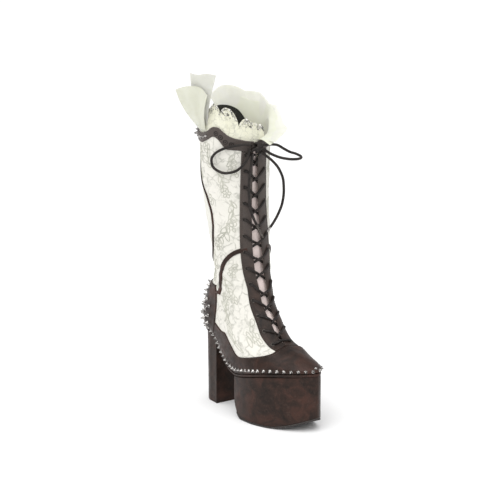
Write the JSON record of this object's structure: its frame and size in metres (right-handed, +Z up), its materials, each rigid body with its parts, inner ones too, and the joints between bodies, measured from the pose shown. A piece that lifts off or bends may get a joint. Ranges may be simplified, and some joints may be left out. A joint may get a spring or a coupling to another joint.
{
  "type": "tall boot",
  "caption": "Tall lace-up platform boot for the right foot: lace-fabric shaft, leather overlays, block heel, frilled collar and crossed cord lacing tied in a bow.",
  "frame": {"origin": "on the floor under the middle of the boot, measured without the bow and the free lace ends", "axes": "+X from heel to toe, +Y to the wearer's left, which is the inner side of this right boot, +Z up"},
  "size_m": [0.2498, 0.1427, 0.5287],
  "materials": {
    "brown_leather": "smooth, mottled, satin",
    "lace_fabric": "matt lace over lining",
    "cream_lining": "matt",
    "organza": "sheer",
    "sole_rubber": "matt",
    "lace_cord": "waxed round cord",
    "dark_metal": "dark lacquered metal"
  },
  "bodies": {
    "root": {"aglet_front": "dark_metal", "aglet_left": "dark_metal", "ankle_strap_left": "brown_leather", "ankle_strap_right": "brown_leather", "back_piping_left": "brown_leather", "back_piping_right": "brown_leather", "bow_loop_left": "lace_cord", "bow_loop_right": "lace_cord", "collar_band": "brown_leather", "counter": "brown_leather", "eyelet_left_01": "dark_metal", "eyelet_left_02": "dark_metal", "eyelet_left_03": "dark_metal", "eyelet_left_04": "dark_metal", "eyelet_left_05": "dark_metal", "eyelet_left_06": "dark_metal", "eyelet_left_07": "dark_metal", "eyelet_left_08": "dark_metal", "eyelet_left_09": "dark_metal", "eyelet_left_10": "dark_metal", "eyelet_left_11": "dark_metal", "eyelet_left_12": "dark_metal", "eyelet_left_13": "dark_metal", "eyelet_right_01": "dark_metal", "eyelet_right_02": "dark_metal", "eyelet_right_03": "dark_metal", "eyelet_right_04": "dark_metal", "eyelet_right_05": "dark_metal", "eyelet_right_06": "dark_metal", "eyelet_right_07": "dark_metal", "eyelet_right_08": "dark_metal", "eyelet_right_09": "dark_metal", "eyelet_right_10": "dark_metal", "eyelet_right_11": "dark_metal", "eyelet_right_12": "dark_metal", "eyelet_right_13": "dark_metal", "eyestay_left": "brown_leather", "eyestay_right": "brown_leather", "frill_back": "organza", "frill_far": "organza", "heel_block": "brown_leather", "insole": "cream_lining", "lace_end_front": "lace_cord", "lace_end_left": "lace_cord", "lace_knot": "lace_cord", "lacing": "lace_cord", "midsole_board": "brown_leather", "outsole": "sole_rubber", "platform": "brown_leather", "scalloped_trim": "organza", "tongue": "cream_lining", "upper": "lace_fabric", "vamp": "brown_leather"}
  },
  "joints": []
}
